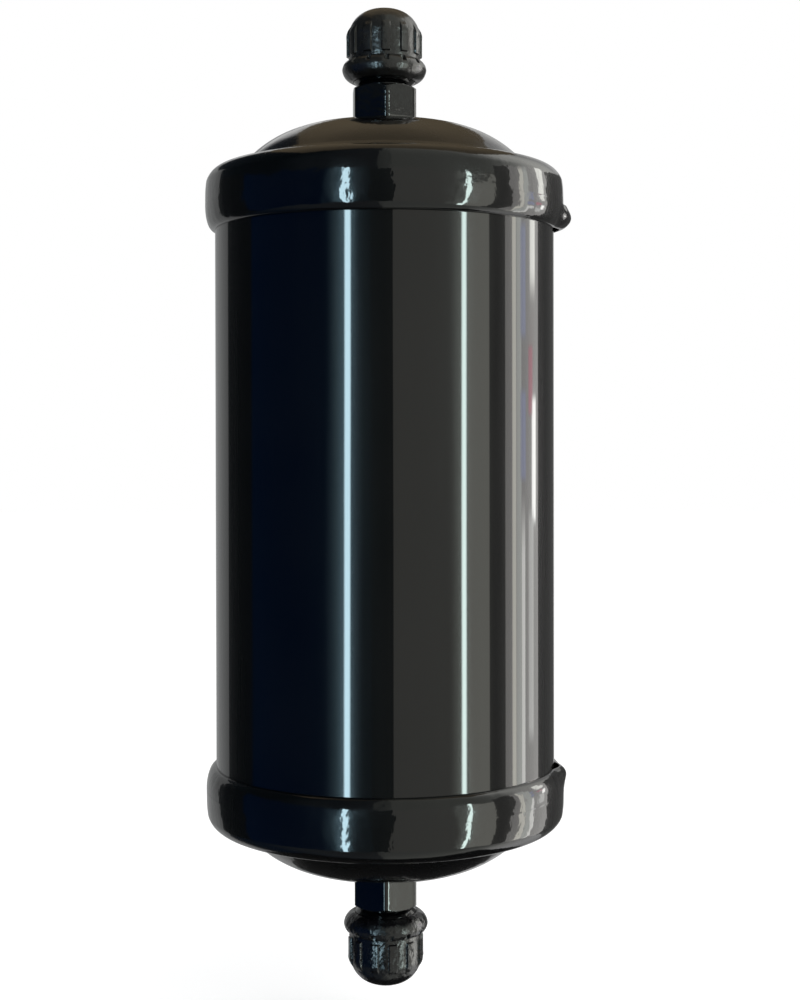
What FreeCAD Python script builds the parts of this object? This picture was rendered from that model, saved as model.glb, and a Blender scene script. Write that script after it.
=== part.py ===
import FreeCAD, Part
import math
import os

# Liquid line filter drier with two male flare connections.
# Millimetres. Z is the vessel axis, +Z the inlet end, origin on the axis at mid height.
# Everything is worked out for the inlet end; the outlet end is a copy turned over.

V = FreeCAD.Vector
Z_AXIS = V(0, 0, 1)
CENTRE = V(0, 0, 0)

# Body tube
tube_od = 87.0
tube_wall = 1.6
tube_length = 157.0

# End cap: a skirt over the tube, a rounded shoulder, a brim and a dome
head_wall = 2.45
skirt_gap = 0.05          # radial clearance, tube in skirt
tube_end_gap = 0.6        # tube end to the start of the shoulder
skirt_straight = 4.9      # plain outside of the skirt, below the shoulder
bevel_rise = 2.8          # height of the weld bevel on the skirt's edge
bevel_land = 0.95         # flat left on the skirt's edge
shoulder_r = 5.2
shoulder_deg = 77.0       # the shoulder ends this far up from horizontal
brim_width = 13.6         # head's outside to the dome's widest point
dome_lift = 4.9           # centre of the shoulder to the centre of the knuckle
dome_rise = 11.85
dome_knuckle_r = 9.4
dome_root_r = 2.0         # concave radius at the foot of the dome

# Girth bead
bead_toe = 2.2            # how far the bead runs down the tube from the skirt's edge
bead_bulge = 0.5          # how far the bead's face stands out from flat
inlet_lump = (2.9, 7.5, 3.9)    # overlap of the bead: radial, round the tube, axial half sizes
inlet_lump_deg = -6.0           # from the right side towards the front
inlet_lump_rise = 3.1           # above the bead's toe
outlet_lump = (1.6, 6.0, 3.2)
outlet_lump_deg = 8.0
outlet_lump_rise = 2.2
lump_sink = 0.8           # the overlap's centre below the head's outside

# Flare connection, 5/8-18 thread for a 3/8 inch tube
hex_af = 15.88
hex_height = 8.69
hex_chamfer = 0.9         # height of the chamfer at the corners
hex_crown_gap = 0.04      # the chamfer's inner edge inside the flats
relief_d = 13.4
relief_length = 2.5
thread_d = 15.8
thread_length = 10.3
thread_chamfer = 1.1
nose_land = 0.7
nose_d = 13.6
nose_rise = 2.4           # height of the 45 degree seat
bore_d = 7.14
bore_chamfer = 0.2
spigot_d = 12.0
spigot_gap = 0.05         # radial clearance, spigot in the head's hole
spigot_out = 1.2          # how far the spigot stands through inside
inlet_hex_turn = 4.0      # degrees the hexagon is turned from a corner at the front
outlet_hex_turn = -1.0
fitting_bead_leg = 2.6    # how far the bead runs out from the hexagon's corners
fitting_bead_rise = 1.9

# Ribbed screw cap
cap_wall = 1.18           # round the thread
cap_thread_gap = 0.12     # radial clearance round the thread
cap_mouth_gap = 2.6       # hexagon to the cap's mouth
cap_crown_t = 2.45
cap_crown_height = 5.9    # tip to where the crown's arc meets the barrel
cap_flat_d = 7.5
cap_ribs = 12
cap_rib_deg = 13.0        # width of a rib
cap_rib_t = 0.55
cap_rib_start = 4.3       # tip to the ribs' upper ends
cap_rib_full = 7.4        # tip to where the ribs have their full height
cap_rib_end = 6.4         # mouth to the ribs' lower ends
cap_rib_chamfer = 0.4
cap_lip = 1.65            # how far the lip stands out from the barrel
cap_lip_low = 3.0         # mouth to the lip's widest place
cap_lip_high = 5.4        # mouth to the lip's upper edge
cap_mouth_land = 0.48
cap_notches = 14
cap_notch_width = 0.9
cap_notch_rise = 3.9      # mouth to the notches' lower ends
cap_notch_floor = 0.15    # barrel to the notches' floors
inlet_cap_phase = -12.0   # degrees from the front to the nearest rib groove
outlet_cap_phase = -3.6

# Rubber seal in the crown of the screw cap
seal_d = 12.0
seal_t = 1.5
seal_gap = 0.05           # radial clearance, seal in the crown

# Outlet plate with holes, wire screen, polyester mat and core gasket
plate_t = 1.6
plate_gap = 2.0           # radial, plate to the inside of the tube
plate_rim = 1.8           # width of the rim that follows the brim
hole_d = 3.6
hole_pitch = 7.0
hole_rings = 3
gasket_t = 3.0
gasket_inset = 0.2        # radial, gasket inside the core's edge
gasket_width = 11.8
screen_t = 0.5
screen_gap = 0.5          # radial, screen and mat to the gasket

# Moulded core, standing on the gasket, its bore open to the outlet
core_gap = 3.9            # radial, core to the inside of the tube
core_edge = 1.5
core_bore_d = 27.0
core_end_t = 22.3         # solid length beyond the blind end of the bore
core_bore_chamfer = 3.0

# Felt pad, pressed spring seat and conical spring at the inlet end. The core takes what length is left.
pad_t = 3.0
pad_inset = 2.0           # radial, pad inside the core's edge
seat_t = 1.2
seat_inset = 3.0
seat_height = 4.0
wire_d = 3.0
spring_inset = 9.0        # radial, lower coil inside the seat's edge
spring_top_r = 15.0
spring_height = 36.2      # loaded, over the wire
spring_turns = 2.6        # open turns between the closed end coils
end_turns = 0.92
steps_per_turn = 20


def edge(a, b):
    return Part.makeLine(V(a[0], 0, a[1]), V(b[0], 0, b[1]))


def arc3(a, m, b):
    return Part.Arc(V(a[0], 0, a[1]), V(m[0], 0, m[1]), V(b[0], 0, b[1])).toShape()


def at_angle(cx, cz, r, deg):
    t = math.radians(deg)
    return (cx + r * math.cos(t), cz + r * math.sin(t))


def bulged(a, b, bulge):
    # Middle point of an arc from a to b that stands out to the right of that way.
    dx = b[0] - a[0]
    dz = b[1] - a[1]
    length = math.hypot(dx, dz)
    return ((a[0] + b[0]) / 2 + dz / length * bulge, (a[1] + b[1]) / 2 - dx / length * bulge)


def revolve(edges):
    face = Part.Face(Part.Wire(edges))
    return face.revolve(CENTRE, Z_AXIS, 360)


def polygon(points):
    pts = list(points)
    pts.append(pts[0])
    return revolve([edge(a, b) for a, b in zip(pts[:-1], pts[1:])])


def disc(r, z0, z1):
    return Part.makeCylinder(r, z1 - z0, V(0, 0, z0))


def ring(r0, r1, z0, z1):
    return disc(r1, z0, z1).cut(disc(r0, z0, z1))


def turned_over(shape):
    out = shape.copy()
    out.rotate(CENTRE, V(1, 0, 0), 180)
    return out


# Levels and radii of the vessel
tube_r = tube_od / 2
tube_in = tube_r - tube_wall
tube_end_z = tube_length / 2
skirt_in = tube_r + skirt_gap
head_r = skirt_in + head_wall
shoulder_x = head_r - shoulder_r
shoulder_z = tube_end_z + tube_end_gap
brim_slope = math.tan(math.radians(90 - shoulder_deg))
bevel_top_z = shoulder_z - skirt_straight
skirt_edge_z = bevel_top_z - bevel_rise
bead_toe_z = skirt_edge_z - bead_toe
dome_a = head_r - brim_width
dome_base_z = shoulder_z + dome_lift
dome_top_z = dome_base_z + dome_rise
knuckle_x = dome_a - dome_knuckle_r
crown_r = (knuckle_x ** 2 + dome_rise ** 2 - dome_knuckle_r ** 2) / (2 * (dome_rise - dome_knuckle_r))
crown_centre_z = dome_top_z - crown_r
knuckle_deg = math.degrees(math.atan2(dome_base_z - crown_centre_z, knuckle_x))


def dome_z(r, offset):
    # Height of the crown surface, moved inward by offset, at radius r.
    return crown_centre_z + math.sqrt((crown_r - offset) ** 2 - r ** 2)


def brim_z(r, offset):
    # Height of the brim surface, moved inward by offset, at radius r.
    x, z = at_angle(shoulder_x, shoulder_z, shoulder_r - offset, shoulder_deg)
    return z + (x - r) * brim_slope


def head_solid(offset):
    # What lies inside the head's surface moved inward by offset, down to the skirt's edge.
    side = (head_r - offset, shoulder_z)
    s1 = at_angle(shoulder_x, shoulder_z, shoulder_r - offset, shoulder_deg / 2)
    s2 = at_angle(shoulder_x, shoulder_z, shoulder_r - offset, shoulder_deg)
    k_r = dome_knuckle_r - offset
    drop = brim_z(knuckle_x, offset) - dome_base_z
    tilt = 90 - shoulder_deg
    foot_deg = math.degrees(math.asin(drop * math.cos(math.radians(tilt)) / k_r)) - tilt
    foot = at_angle(knuckle_x, dome_base_z, k_r, foot_deg)
    k1 = at_angle(knuckle_x, dome_base_z, k_r, (foot_deg + knuckle_deg) / 2)
    k2 = at_angle(knuckle_x, dome_base_z, k_r, knuckle_deg)
    c1 = at_angle(0, crown_centre_z, crown_r - offset, (knuckle_deg + 90) / 2)
    top = (0, dome_top_z - offset)
    solid = revolve([
        edge((0, skirt_edge_z), (side[0], skirt_edge_z)),
        edge((side[0], skirt_edge_z), side),
        arc3(side, s1, s2),
        edge(s2, foot),
        arc3(foot, k1, k2),
        arc3(k2, c1, top),
        edge(top, (0, skirt_edge_z)),
    ])
    return solid.makeFillet(dome_root_r + offset, [circle_at(solid, foot)])


def circle_at(shape, point):
    near = shoulder_r / 100
    for e in shape.Edges:
        if e.Degenerated or not isinstance(e.Curve, Part.Circle):
            continue
        c = e.Curve
        if abs(c.Center.z - point[1]) < near and abs(c.Radius - point[0]) < near:
            return e


def end_cap():
    land_r = skirt_in + bevel_land
    bevel = polygon([
        (land_r, skirt_edge_z),
        (head_r, bevel_top_z),
        (head_r + bevel_rise, bevel_top_z),
        (head_r + bevel_rise, skirt_edge_z - bevel_rise),
        (land_r, skirt_edge_z - bevel_rise),
    ])
    hole = disc(spigot_d / 2 + spigot_gap, dome_base_z, dome_top_z + dome_rise)
    return head_outside.cut(head_inside).cut(bevel).cut(hole)


def girth_bead(half, deg, rise):
    # Bead in the bevel and on the tube, with a lump of the given half sizes where it overlaps.
    toe = (tube_r, bead_toe_z)
    top = (head_r, bevel_top_z)
    land = (skirt_in + bevel_land, skirt_edge_z)
    root = (tube_r, skirt_edge_z)
    bead = revolve([
        edge(toe, root),
        edge(root, land),
        edge(land, top),
        arc3(top, bulged(toe, top, bead_bulge), toe),
    ])
    size = FreeCAD.Matrix()
    size.scale(half[0], half[1], half[2])
    lump = Part.makeSphere(1.0).transformGeometry(size)
    lump.translate(V(head_r - lump_sink, 0, bead_toe_z + rise))
    lump.rotate(CENTRE, Z_AXIS, deg)
    kept_out = head_outside.fuse(disc(tube_r, bead_toe_z - tube_r, shoulder_z))
    return bead.fuse(lump.cut(kept_out)).removeSplitter()


shell_tube = ring(tube_in, tube_r, -tube_end_z, tube_end_z)
head_outside = head_solid(0.0)
head_inside = head_solid(head_wall)
head = end_cap()

# Levels and radii of the flare connection
spigot_low_z = dome_top_z - head_wall - spigot_out
hex_low_z = dome_z(spigot_d / 2 + spigot_gap, 0)
hex_top_z = hex_low_z + hex_height
hex_corner_r = hex_af / math.sqrt(3)
relief_top_z = hex_top_z + relief_length
thread_top_z = relief_top_z + thread_length
nose_neck_z = thread_top_z + thread_chamfer
nose_base_z = nose_neck_z + nose_land
nose_z = nose_base_z + nose_rise
bore_r = bore_d / 2


def hexagon(z0, z1, turn):
    pts = []
    for i in range(7):
        t = math.radians(60 * i - 90 + turn)
        pts.append(V(hex_corner_r * math.cos(t), hex_corner_r * math.sin(t), z0))
    return Part.Face(Part.makePolygon(pts)).extrude(V(0, 0, z1 - z0))


def fitting(turn):
    chamfer_z = hex_top_z + hex_chamfer
    trim = polygon([
        (0, hex_low_z),
        (hex_corner_r, hex_low_z),
        (hex_corner_r, hex_top_z),
        (hex_af / 2 - hex_crown_gap, chamfer_z),
        (0, chamfer_z),
    ])
    body = hexagon(hex_low_z, chamfer_z, turn).common(trim).cut(disc(bore_r, spigot_low_z, chamfer_z))
    stem = polygon([
        (bore_r, spigot_low_z),
        (spigot_d / 2, spigot_low_z),
        (spigot_d / 2, hex_top_z),
        (relief_d / 2, hex_top_z),
        (relief_d / 2, relief_top_z - (thread_d - relief_d) / 2),
        (thread_d / 2, relief_top_z),
        (thread_d / 2, thread_top_z),
        (nose_d / 2, nose_neck_z),
        (nose_d / 2, nose_base_z),
        (nose_d / 2 - nose_rise, nose_z),
        (bore_r + bore_chamfer, nose_z),
        (bore_r, nose_z - bore_chamfer),
    ])
    return body.fuse(stem).removeSplitter()


def fitting_bead(turn):
    inner_r = hex_af / 2 - fitting_bead_leg / 2
    blank = polygon([
        (inner_r, dome_base_z),
        (hex_corner_r + fitting_bead_leg, dome_base_z),
        (hex_corner_r + fitting_bead_leg, dome_z(hex_corner_r + fitting_bead_leg, 0)),
        (hex_corner_r + fitting_bead_leg / 8, hex_low_z + fitting_bead_rise * 0.85),
        (inner_r, hex_low_z + fitting_bead_rise),
    ])
    return blank.cut(hexagon(dome_base_z, hex_top_z, turn)).cut(head_outside)


# Levels and radii of the screw cap
cap_bore_r = thread_d / 2 + cap_thread_gap
cap_r = cap_bore_r + cap_wall
cap_mouth_z = hex_top_z + cap_mouth_gap
seal_top_z = nose_z + seal_t
cap_tip_z = seal_top_z + cap_crown_t


def cap_outside():
    # Barrel with a rolled lip at the mouth and a domed crown with a flat middle.
    mouth = (cap_bore_r + cap_mouth_land, cap_mouth_z)
    widest = (cap_r + cap_lip, cap_mouth_z + cap_lip_low)
    lip_top = (cap_r, cap_mouth_z + cap_lip_high)
    crown_low = (cap_r, cap_tip_z - cap_crown_height)
    flat = (cap_flat_d / 2, cap_tip_z)
    return revolve([
        edge((0, cap_mouth_z), mouth),
        arc3(mouth, bulged(mouth, widest, cap_lip / 3), widest),
        arc3(widest, bulged(widest, lip_top, cap_lip / 4), lip_top),
        edge(lip_top, crown_low),
        arc3(crown_low, bulged(crown_low, flat, cap_crown_height / 5), flat),
        edge(flat, (0, cap_tip_z)),
        edge((0, cap_tip_z), (0, cap_mouth_z)),
    ])


def cap_inside():
    start = cap_mouth_z - cap_mouth_gap
    corner = (cap_bore_r, seal_top_z - seal_t * 3)
    top = (seal_d / 2 + seal_gap, seal_top_z)
    return revolve([
        edge((0, start), (cap_bore_r, start)),
        edge((cap_bore_r, start), corner),
        arc3(corner, bulged(corner, top, cap_wall / 4), top),
        edge(top, (0, seal_top_z)),
        edge((0, seal_top_z), (0, start)),
    ])


def cap_rib():
    # One rib at the front: chamfered below, running out on the crown above.
    root_r = cap_r - cap_rib_t
    low_z = cap_mouth_z + cap_rib_end
    full_z = cap_tip_z - cap_rib_full
    end_z = cap_tip_z - cap_rib_start
    out_r = cap_r + cap_rib_t
    face = Part.Face(Part.Wire([
        edge((root_r, low_z - cap_rib_chamfer), (out_r - cap_rib_chamfer, low_z - cap_rib_chamfer)),
        edge((out_r - cap_rib_chamfer, low_z - cap_rib_chamfer), (out_r, low_z)),
        edge((out_r, low_z), (out_r, full_z)),
        arc3((out_r, full_z), bulged((out_r, full_z), (root_r, end_z), cap_rib_chamfer), (root_r, end_z)),
        edge((root_r, end_z), (root_r - cap_rib_t, end_z)),
        edge((root_r - cap_rib_t, end_z), (root_r, low_z - cap_rib_chamfer)),
    ]))
    rib = face.revolve(CENTRE, Z_AXIS, cap_rib_deg)
    rib.rotate(CENTRE, Z_AXIS, -90 - cap_rib_deg / 2)
    return rib


def screw_cap(phase):
    pitch = 360 / cap_ribs
    rib = cap_rib()
    ribs = []
    for i in range(cap_ribs):
        ribs.append(rib.copy())
        ribs[-1].rotate(CENTRE, Z_AXIS, phase + pitch * (i + 0.5))
    body = cap_outside().multiFuse(ribs).cut(cap_inside())
    floor_r = cap_r + cap_notch_floor
    low_z = cap_mouth_z + cap_notch_rise
    height = cap_lip_high + cap_rib_chamfer - cap_notch_rise
    slots = []
    for i in range(cap_notches):
        slot = Part.makeBox(cap_notch_width, cap_lip * 2, height)
        slot.translate(V(-cap_notch_width / 2, -floor_r - cap_lip * 2, low_z))
        slot.rotate(CENTRE, Z_AXIS, phase + pitch / 2 + 360 / cap_notches * i)
        slots.append(slot)
    return body.cut(Part.makeCompound(slots)).removeSplitter()


cap_seal = disc(seal_d / 2, nose_z, seal_top_z)

# Outlet stack, from the brim inwards. Levels are worked out as for the inlet end and turned over.
plate_r = tube_in - plate_gap
plate_flat_r = plate_r - plate_rim
plate_low_z = brim_z(plate_flat_r, head_wall)
plate_top_z = plate_low_z - plate_t
gasket_top_z = plate_top_z - gasket_t
core_r = tube_in - core_gap
gasket_r = core_r - gasket_inset
screen_r = gasket_r - gasket_width - screen_gap


def perforated_plate():
    rim_z = brim_z(plate_r, head_wall)
    plate = polygon([
        (0, plate_low_z),
        (plate_flat_r, plate_low_z),
        (plate_r, rim_z),
        (plate_r, rim_z - plate_t),
        (plate_flat_r, plate_top_z),
        (0, plate_top_z),
    ])
    holes = []
    for i in range(-hole_rings, hole_rings + 1):
        for j in range(-hole_rings, hole_rings + 1):
            if abs(i + j) > hole_rings:
                continue
            hole = disc(hole_d / 2, plate_top_z - plate_t, plate_low_z + plate_t)
            hole.translate(V(hole_pitch * (i + j / 2), hole_pitch * j * math.sqrt(3) / 2, 0))
            holes.append(hole)
    return plate.cut(Part.makeCompound(holes))


gasket = ring(gasket_r - gasket_width, gasket_r, gasket_top_z, plate_top_z)
screen = disc(screen_r, plate_top_z - screen_t, plate_top_z)
mat = disc(screen_r, gasket_top_z, plate_top_z - screen_t)

# Spring levels, from the dome down to the seat, and the core between seat and gasket
wire_r = wire_d / 2
dome_lean = math.asin(spring_top_r / (crown_r - head_wall))
spring_top_z = dome_z(spring_top_r, head_wall) - wire_r / math.cos(dome_lean)
spring_low_z = spring_top_z - spring_height + wire_d
seat_z = spring_low_z - wire_r - seat_t
core_top_z = seat_z - pad_t
core_low_z = -gasket_top_z
core_bore_r = core_bore_d / 2
bore_end_z = core_top_z - core_end_t
core = polygon([
    (core_bore_r, core_low_z),
    (core_r - core_edge, core_low_z),
    (core_r, core_low_z + core_edge),
    (core_r, core_top_z - core_edge),
    (core_r - core_edge, core_top_z),
    (0, core_top_z),
    (0, bore_end_z),
    (core_bore_r - core_bore_chamfer, bore_end_z),
    (core_bore_r, bore_end_z - core_bore_chamfer),
])

# Pad and spring seat on the core
seat_r = core_r - seat_inset
pad = disc(core_r - pad_inset, core_top_z, seat_z)
spring_seat = polygon([
    (0, seat_z),
    (seat_r, seat_z),
    (seat_r, seat_z + seat_height),
    (seat_r - seat_t, seat_z + seat_height),
    (seat_r - seat_t, seat_z + seat_t),
    (0, seat_z + seat_t),
])

# Spring: a closed coil on the seat, open turns, and a closed coil under the dome
spring_low_r = seat_r - spring_inset
total_turns = spring_turns + 2 * end_turns


def coil_point(turn):
    f = min(max((turn - end_turns) / spring_turns, 0.0), 1.0)
    f = f * f * (3 - 2 * f)
    r = spring_low_r + (spring_top_r - spring_low_r) * f
    t = 2 * math.pi * turn
    return V(r * math.cos(t), r * math.sin(t), spring_low_z + (spring_top_z - spring_low_z) * f)


def conical_spring():
    sections = []
    steps = int(total_turns * steps_per_turn)
    for i in range(steps + 1):
        turn = total_turns * i / steps
        along = coil_point(turn + 0.001) - coil_point(turn - 0.001)
        sections.append(Part.Wire(Part.makeCircle(wire_r, coil_point(turn), along)))
    return Part.makeLoft(sections, True, True)


nodes = {
    "shell_tube": shell_tube,
    "inlet_end_cap": head,
    "outlet_end_cap": turned_over(head),
    "inlet_girth_weld": girth_bead(inlet_lump, inlet_lump_deg, inlet_lump_rise),
    "outlet_girth_weld": turned_over(girth_bead(outlet_lump, outlet_lump_deg, outlet_lump_rise)),
    "inlet_fitting": fitting(inlet_hex_turn),
    "outlet_fitting": turned_over(fitting(180 - outlet_hex_turn)),
    "inlet_fitting_weld": fitting_bead(inlet_hex_turn),
    "outlet_fitting_weld": turned_over(fitting_bead(180 - outlet_hex_turn)),
    "inlet_dust_cap": screw_cap(inlet_cap_phase),
    "outlet_dust_cap": turned_over(screw_cap(180 - outlet_cap_phase)),
    "inlet_cap_seal": cap_seal,
    "outlet_cap_seal": turned_over(cap_seal),
    "core_spring": conical_spring(),
    "spring_seat": spring_seat,
    "inlet_felt_pad": pad,
    "desiccant_core": core,
    "outlet_core_gasket": turned_over(gasket),
    "outlet_filter_mat": turned_over(mat),
    "outlet_screen": turned_over(screen),
    "perforated_plate": turned_over(perforated_plate()),
}
os.makedirs("parts", exist_ok=True)
for name, shape in nodes.items():
    shape.exportStep("parts/" + name + ".step")
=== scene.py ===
import math

import bmesh
import bpy
from mathutils import Euler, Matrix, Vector, noise


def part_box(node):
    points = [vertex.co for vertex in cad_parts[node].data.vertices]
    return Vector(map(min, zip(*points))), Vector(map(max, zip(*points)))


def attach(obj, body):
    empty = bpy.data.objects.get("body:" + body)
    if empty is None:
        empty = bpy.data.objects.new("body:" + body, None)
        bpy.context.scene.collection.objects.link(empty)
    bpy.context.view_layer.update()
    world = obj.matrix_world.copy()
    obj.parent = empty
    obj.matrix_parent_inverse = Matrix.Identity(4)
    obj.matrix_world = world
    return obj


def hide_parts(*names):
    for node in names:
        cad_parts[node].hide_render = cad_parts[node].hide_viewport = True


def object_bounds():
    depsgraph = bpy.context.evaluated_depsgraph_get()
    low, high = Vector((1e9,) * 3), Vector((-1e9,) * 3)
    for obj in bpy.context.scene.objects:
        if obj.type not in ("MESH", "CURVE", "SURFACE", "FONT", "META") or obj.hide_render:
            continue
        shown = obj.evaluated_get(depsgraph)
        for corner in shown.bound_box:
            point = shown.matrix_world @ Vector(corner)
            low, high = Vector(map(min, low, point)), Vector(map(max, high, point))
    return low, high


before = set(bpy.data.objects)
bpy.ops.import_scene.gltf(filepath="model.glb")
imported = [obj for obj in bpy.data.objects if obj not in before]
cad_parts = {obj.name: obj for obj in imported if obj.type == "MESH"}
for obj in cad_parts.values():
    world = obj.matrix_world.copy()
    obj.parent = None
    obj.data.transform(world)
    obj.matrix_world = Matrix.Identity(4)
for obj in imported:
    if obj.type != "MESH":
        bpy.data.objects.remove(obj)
cad_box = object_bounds()
scene = bpy.context.scene
scene.view_settings.view_transform = "Standard"

MM = 0.001
TAU = 2 * math.pi


def crown_radius(knuckle_x, knuckle_r, rise):
    # Radius of a dome's crown that runs on smoothly from the knuckle at its foot.
    return (knuckle_x ** 2 + rise ** 2 - knuckle_r ** 2) / (2 * (rise - knuckle_r))


# Sizes of the vessel, from the frame where the frame has them
tube_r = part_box("shell_tube")[1].x
tube_end_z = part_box("shell_tube")[1].z
head_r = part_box("inlet_end_cap")[1].x
skirt_edge_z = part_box("inlet_end_cap")[0].z
bead_toe_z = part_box("inlet_girth_weld")[0].z
tube_wall = 1.6 * MM
tube_wave_length = 60 * MM
tube_wave_depth = 0.01 * MM
tube_waves_round = 2.0
head_wall = 2.45 * MM
skirt_in = head_r - head_wall
bevel_land = 0.95 * MM
bevel_top_z = skirt_edge_z + 2.8 * MM
shoulder_z = skirt_edge_z + 7.7 * MM
shoulder_r = 5.2 * MM
shoulder_deg = 77.0
shoulder_x = head_r - shoulder_r
lean_z = shoulder_z - 2.2 * MM
lean_r = 26.0 * MM
lean_soft = 0.02 * MM
root_r = 2.0 * MM

# The dome's knuckle, crown and top: inside as the steel has them, and outside as the paint runs out
# on to the brim in a wider curve.
dome_base_z = shoulder_z + 4.9 * MM
dome_rise = 11.85 * MM
knuckle_r = 9.4 * MM
knuckle_x = head_r - 13.6 * MM - knuckle_r
crown_r = crown_radius(knuckle_x, knuckle_r, dome_rise)
dome_top_z = dome_base_z + dome_rise
crown_z = dome_top_z - crown_r
inner_dome = (knuckle_x, dome_base_z, knuckle_r, crown_r, dome_top_z)
paint_base_z = shoulder_z - 12.82 * MM
paint_rise = 29.41 * MM
paint_knuckle_r = 28.88 * MM
paint_knuckle_x = 14.36 * MM
paint_crown_r = crown_radius(paint_knuckle_x, paint_knuckle_r, paint_rise)
outer_dome = (paint_knuckle_x, paint_base_z, paint_knuckle_r, paint_crown_r, paint_base_z + paint_rise)

# Shallow dents and fine ripples in the side of a head: their size across, along and in depth
dent_across, dent_along, dent_depth = 7 * MM, 11 * MM, 0.08 * MM
ripple_across, ripple_along, ripple_depth = 4 * MM, 6 * MM, 0.01 * MM
dent_bias = 0.5
dents_start_z, dents_full_z = bevel_top_z - 1 * MM, bevel_top_z + 4 * MM
dents_fade_z, dents_stop_z = shoulder_z + 2 * MM, dome_base_z

# The girth bead and the lump where it overlaps. Each end's lump has half its depth, width and height,
# its angle round the axis in degrees, and how far its middle lies above the bead's toe.
inlet_lump = ((2.9 * MM, 7.5 * MM, 3.9 * MM), -6.0, 3.1 * MM)
outlet_lump = ((1.6 * MM, 6.0 * MM, 3.2 * MM), 8.0, 2.2 * MM)
bead_ripple = 0.06 * MM
bead_waves_round, bead_waves_across = 16.0, 2.0
lump_ripple = 0.25 * MM
lump_sunk = 0.8 * MM
lump_fade = 1.3

# Sizes of the flare connection
spigot_low_z, nose_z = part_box("inlet_fitting")[0].z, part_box("inlet_fitting")[1].z
spigot_r = 6.0 * MM
spigot_hole_r = spigot_r + 0.05 * MM
spigot_step = 0.01 * MM
hex_af = 15.88 * MM
hex_corner_r = hex_af / math.sqrt(3)
hex_corner_worn = 0.22 * MM
hex_corner_soft = 0.12 * MM
hex_low_z = crown_z + math.sqrt(crown_r ** 2 - spigot_hole_r ** 2)
hex_top_z = hex_low_z + 8.69 * MM
hex_chamfer = 0.9 * MM
hex_chamfer_r = hex_af / 2 - 0.04 * MM
hex_foot = 0.25 * MM
hex_foot_height = 0.5 * MM
relief_r = 6.7 * MM
relief_top_z = hex_top_z + 2.5 * MM
thread_r = 7.9 * MM
thread_top_z = relief_top_z + 10.3 * MM
thread_chamfer = 1.1 * MM
thread_pitch = 25.4 / 18 * MM
thread_depth = 0.72 * MM
thread_crest = 0.12
thread_run_in = (0.0, 0.8 * MM)
thread_run_out = 0.5 * MM
nose_r = 6.8 * MM
nose_base_z = nose_z - 2.4 * MM
nose_edge = 0.2 * MM
bore_r = 3.57 * MM
inlet_hex_turn = 4.0
outlet_hex_turn = -1.0
weld_leg = 2.6 * MM
weld_rise = 1.9 * MM
weld_sunk = 0.3 * MM
weld_uneven = 0.25 * MM
weld_uneven_rise = 0.12
weld_waves_round = 3.0

# Sizes of the screw cap
cap_mouth_z, cap_tip_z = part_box("inlet_dust_cap")[0].z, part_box("inlet_dust_cap")[1].z
cap_bore_r = 8.02 * MM
cap_thread_depth = 0.5 * MM
cap_thread_run_in = (0.3 * MM, 1.2 * MM)
cap_thread_run_out = 1.5 * MM
cap_r = 9.2 * MM
seal_r = 6.05 * MM
seal_top_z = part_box("inlet_cap_seal")[1].z
seat_bulge = 0.3 * MM
cap_bore_top_z = seal_top_z - 4.5 * MM
crown_height = 5.9 * MM
crown_bulge = crown_height / 5
crown_flat_r = 3.75 * MM
rib_t = 0.55 * MM
rib_count = 12
rib_deg = 13.0
rib_side_deg = 0.8
rib_low_z = cap_mouth_z + 6.4 * MM
rib_high_z = cap_tip_z - 7.4 * MM
rib_stop_z = cap_tip_z - 4.3 * MM
rib_chamfer = 0.4 * MM
rib_foot_slope = 2.0
lip_out = 1.65 * MM
lip_low = 3.0 * MM
lip_high = 5.4 * MM
lip_low_bulge = lip_out / 3
lip_high_bulge = lip_out / 4
mouth_land = 0.48 * MM
notch_count = 14
notch_deg = math.degrees(0.9 * MM / cap_r)
notch_side_deg = 1.0
notch_floor_z = cap_mouth_z + 3.9 * MM
notch_floor_soft = 0.2 * MM
notch_floor_r = cap_r + 0.15 * MM
inlet_cap_phase = -12.0
outlet_cap_phase = -3.6


# Profiles: lists of points, each a radius and a height

def arc(cx, cz, r, from_deg, to_deg, steps):
    out = []
    for i in range(steps + 1):
        t = math.radians(from_deg + (to_deg - from_deg) * i / steps)
        out.append((cx + r * math.cos(t), cz + r * math.sin(t)))
    return out


def bow(a, b, bulge, steps):
    # Points of a shallow arc from a to b that stands out to the right of that way.
    dx, dz = b[0] - a[0], b[1] - a[1]
    length = math.hypot(dx, dz)
    out = []
    for i in range(steps + 1):
        f = i / steps
        lift = bulge * 4 * f * (1 - f)
        out.append((a[0] + dx * f + dz / length * lift, a[1] + dz * f - dx / length * lift))
    return out


def line(a, b, steps):
    return bow(a, b, 0.0, steps)


def plump(top, toe, steps):
    # A full rounded face, upright at its top and flat at its toe.
    fullness = 0.87
    out = []
    for i in range(steps + 1):
        a = math.pi / 2 * i / steps
        across, down = math.cos(a) ** fullness, math.sin(a) ** fullness
        out.append((toe[0] + (top[0] - toe[0]) * across, top[1] - (top[1] - toe[1]) * down))
    return out


def joined(*runs):
    # One profile from several runs, without doubled points.
    out = []
    for run in runs:
        for p in run:
            if not out or math.dist(out[-1], p) > 1e-7:
                out.append(p)
    return out


def smooth(x, low, high):
    # 0 below low, 1 above high and a soft step between them.
    f = min(max((x - low) / (high - low), 0.0), 1.0)
    return f * f * (3 - 2 * f)


def within(off, half, side):
    # 1 within half of a middle and 0 beyond it, with a soft step as wide as two sides.
    return 1 - smooth(off, half - side, half + side)


# Meshes

def new_object(name, data):
    made = bpy.data.objects.new(name, data)
    scene.collection.objects.link(made)
    return made


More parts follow.
